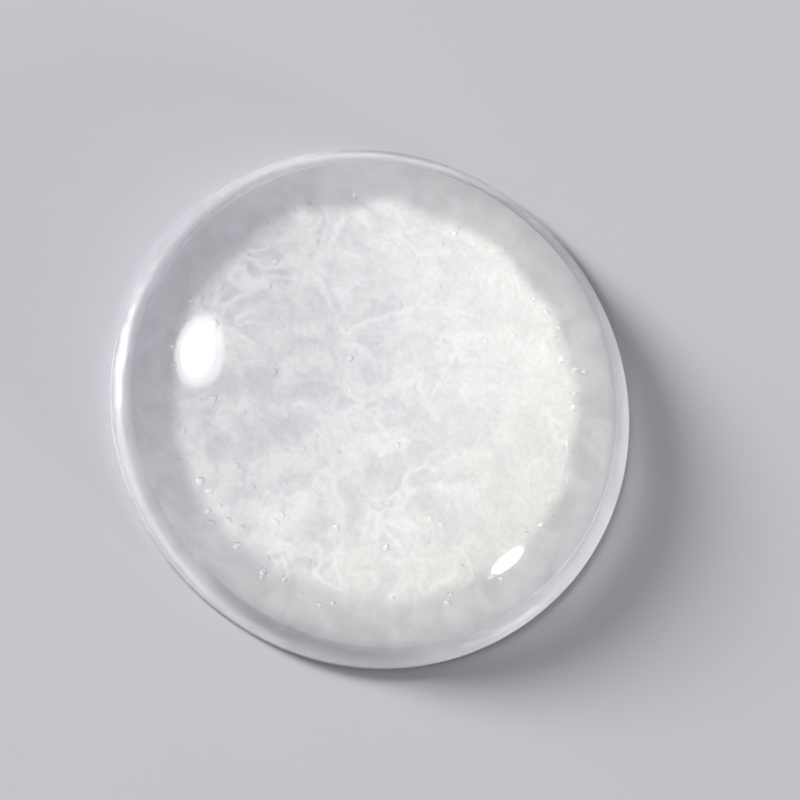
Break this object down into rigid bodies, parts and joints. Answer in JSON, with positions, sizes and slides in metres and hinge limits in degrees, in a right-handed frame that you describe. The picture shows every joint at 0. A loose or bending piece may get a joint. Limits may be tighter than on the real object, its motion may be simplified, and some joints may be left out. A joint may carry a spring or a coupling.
{
  "type": "cabinet door bumper",
  "caption": "Low clear dome on a thin round skirt with a flat adhesive disc under it, which cushions a cabinet door or drawer front where it closes.",
  "frame": {"origin": "centre of the adhesive disc's underside", "axes": "+Z along the dome's axis, away from the surface it is stuck to; the part is round, so X and Y are free"},
  "size_m": [0.009, 0.009, 0.0025],
  "materials": {
    "clear_polyurethane": "clear cast polyurethane elastomer with a glossy free surface",
    "acrylic_adhesive": "milky, finely mottled pressure-sensitive acrylic adhesive"
  },
  "bodies": {
    "root": {"bumper_body": "clear_polyurethane", "adhesive_disc": "acrylic_adhesive"}
  },
  "joints": []
}
